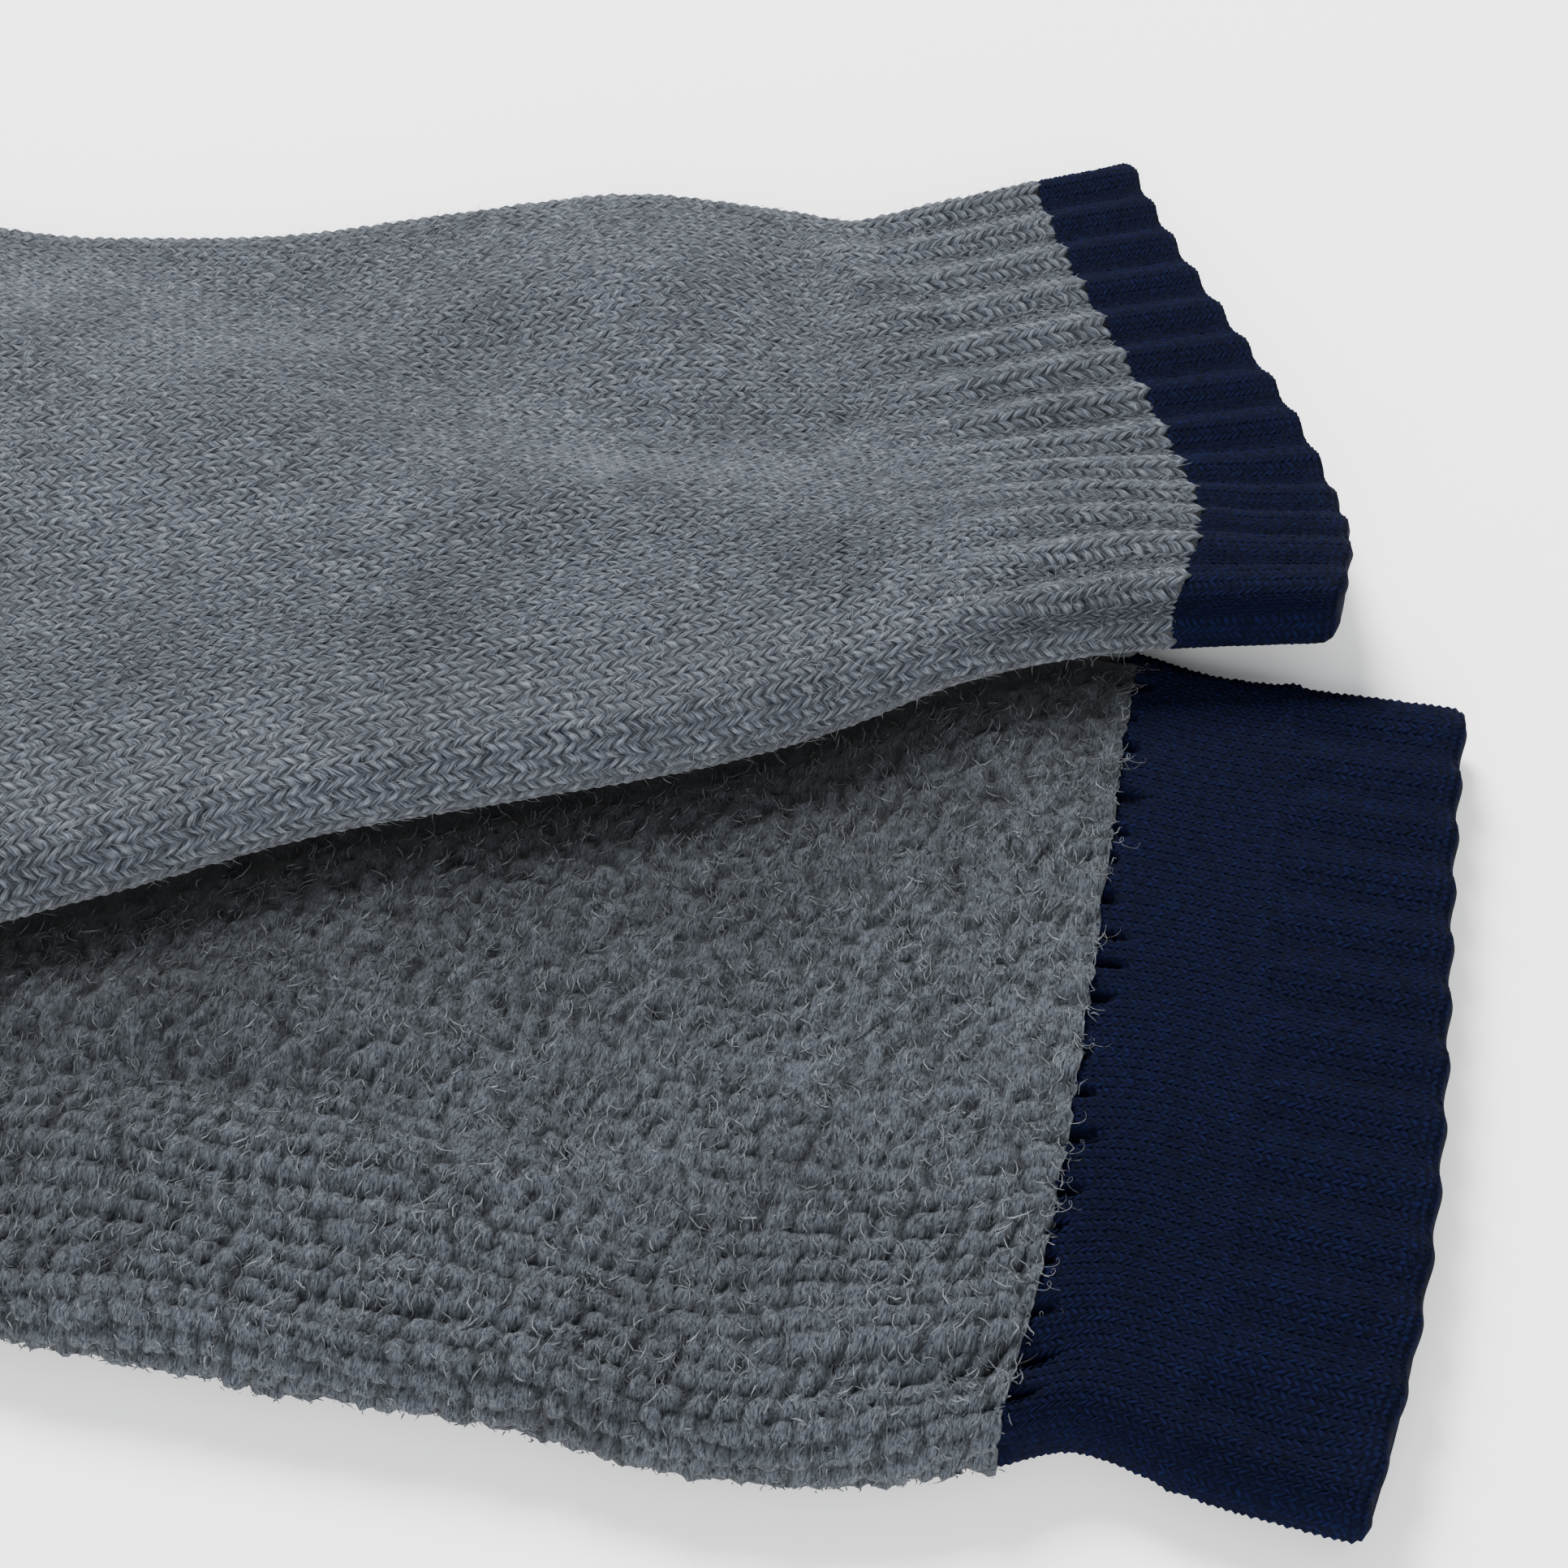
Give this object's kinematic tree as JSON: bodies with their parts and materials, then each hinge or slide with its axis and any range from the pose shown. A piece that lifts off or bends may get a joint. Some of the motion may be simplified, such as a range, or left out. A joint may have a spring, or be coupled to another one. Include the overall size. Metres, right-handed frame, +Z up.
{
  "type": "pair of wool socks",
  "caption": "Thick knitted wool socks with ribbed navy cuffs, lying flat and overlapping, one right side out and one turned inside out to its loop pile.",
  "frame": {"origin": "on the surface that the pair lies on, under the middle of the pair's own box", "axes": "+X along the legs towards the mouths of the socks, +Y across them away from the viewer, +Z up from the surface"},
  "size_m": [0.384, 0.3486, 0.0189],
  "materials": {
    "navy_rib": "matte ribbed knit of fine navy wool yarn",
    "navy_facing": "matte inner facing of the navy welt, fine wool yarn",
    "grey_knit": "brushed plain knit of grey melange wool",
    "grey_terry": "loop pile of grey melange wool, fuzzy"
  },
  "bodies": {
    "root": {"upper_cuff_band": "navy_rib", "upper_ribbed_top": "grey_knit", "upper_leg": "grey_knit", "upper_heel_and_foot": "grey_knit", "upper_toe": "grey_knit", "lower_cuff_facing": "navy_facing", "lower_leg": "grey_terry", "lower_heel_and_foot": "grey_terry", "lower_toe": "grey_terry"}
  },
  "joints": []
}
